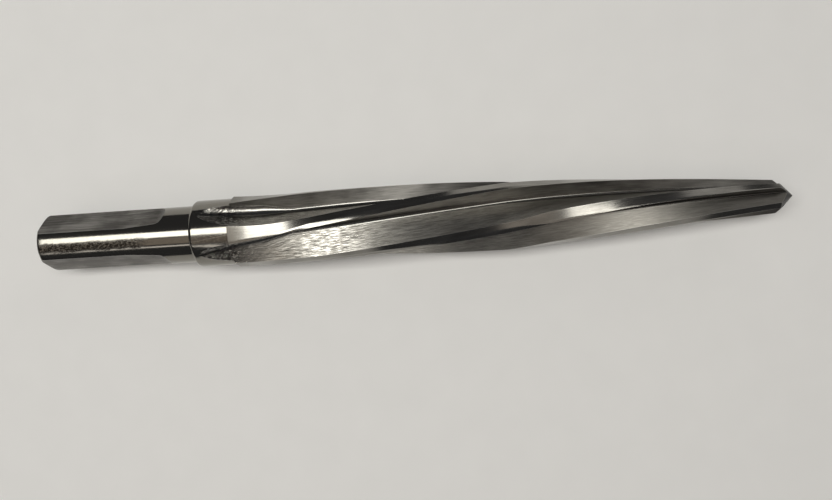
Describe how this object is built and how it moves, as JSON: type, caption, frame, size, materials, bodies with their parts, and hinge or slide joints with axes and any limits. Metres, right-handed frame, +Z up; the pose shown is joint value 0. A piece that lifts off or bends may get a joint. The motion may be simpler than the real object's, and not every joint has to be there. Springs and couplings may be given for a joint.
{
  "type": "taper reamer",
  "caption": "Bridge reamer: round shank with ground drive flats, polished collar and a long tapered body with left-hand spiral flutes and a conical point.",
  "frame": {"origin": "centre of the shank's end face, on the tool's axis", "axes": "+X along the tool's axis from the shank end to the point; +Z up as the tool lies on a table; +Y to the side"},
  "size_m": [0.1651, 0.0158, 0.0158],
  "materials": {
    "shank_steel": "polished round with fine turning marks, satin ground flats",
    "tool_steel": "ground bright lands and collar, brushed flute floors, dark rough run-outs"
  },
  "bodies": {
    "root": {"shank": "shank_steel", "fluted_body": "tool_steel"}
  },
  "joints": []
}
